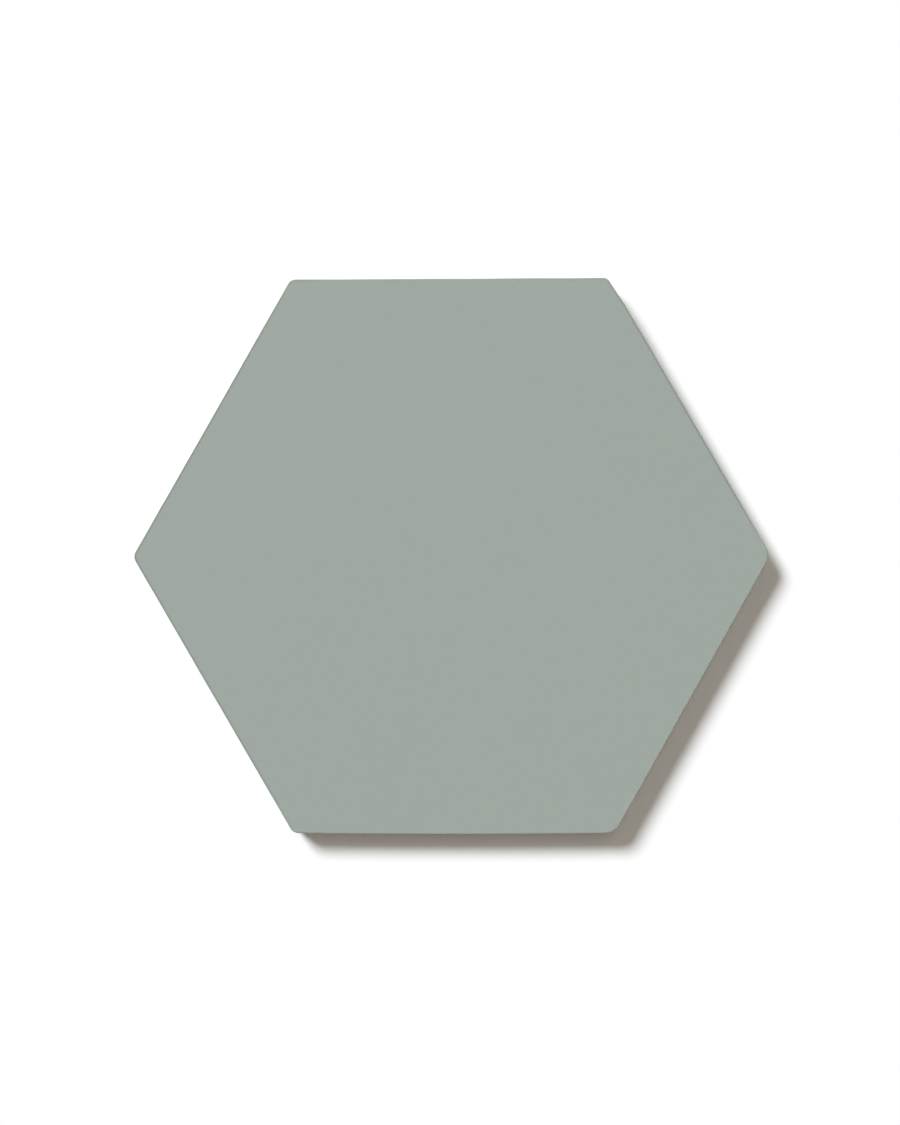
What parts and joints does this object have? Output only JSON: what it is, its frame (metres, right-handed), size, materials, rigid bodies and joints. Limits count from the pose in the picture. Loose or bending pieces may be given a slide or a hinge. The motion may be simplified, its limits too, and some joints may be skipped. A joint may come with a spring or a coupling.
{
  "type": "hexagon floor tile",
  "caption": "Flat hexagonal stoneware floor tile with rounded corners, a soft top arris, upright joint faces, drafted lower flanks and a honeycomb keying relief on the back.",
  "frame": {"origin": "centre of the plane that the back rests on", "axes": "+Z out of the wearing face, +X through a corner, +Y through the middle of a flat side"},
  "size_m": [0.1722, 0.15, 0.009],
  "materials": {
    "stoneware": "matte"
  },
  "bodies": {
    "root": {"hexagon_tile": "stoneware"}
  },
  "joints": []
}
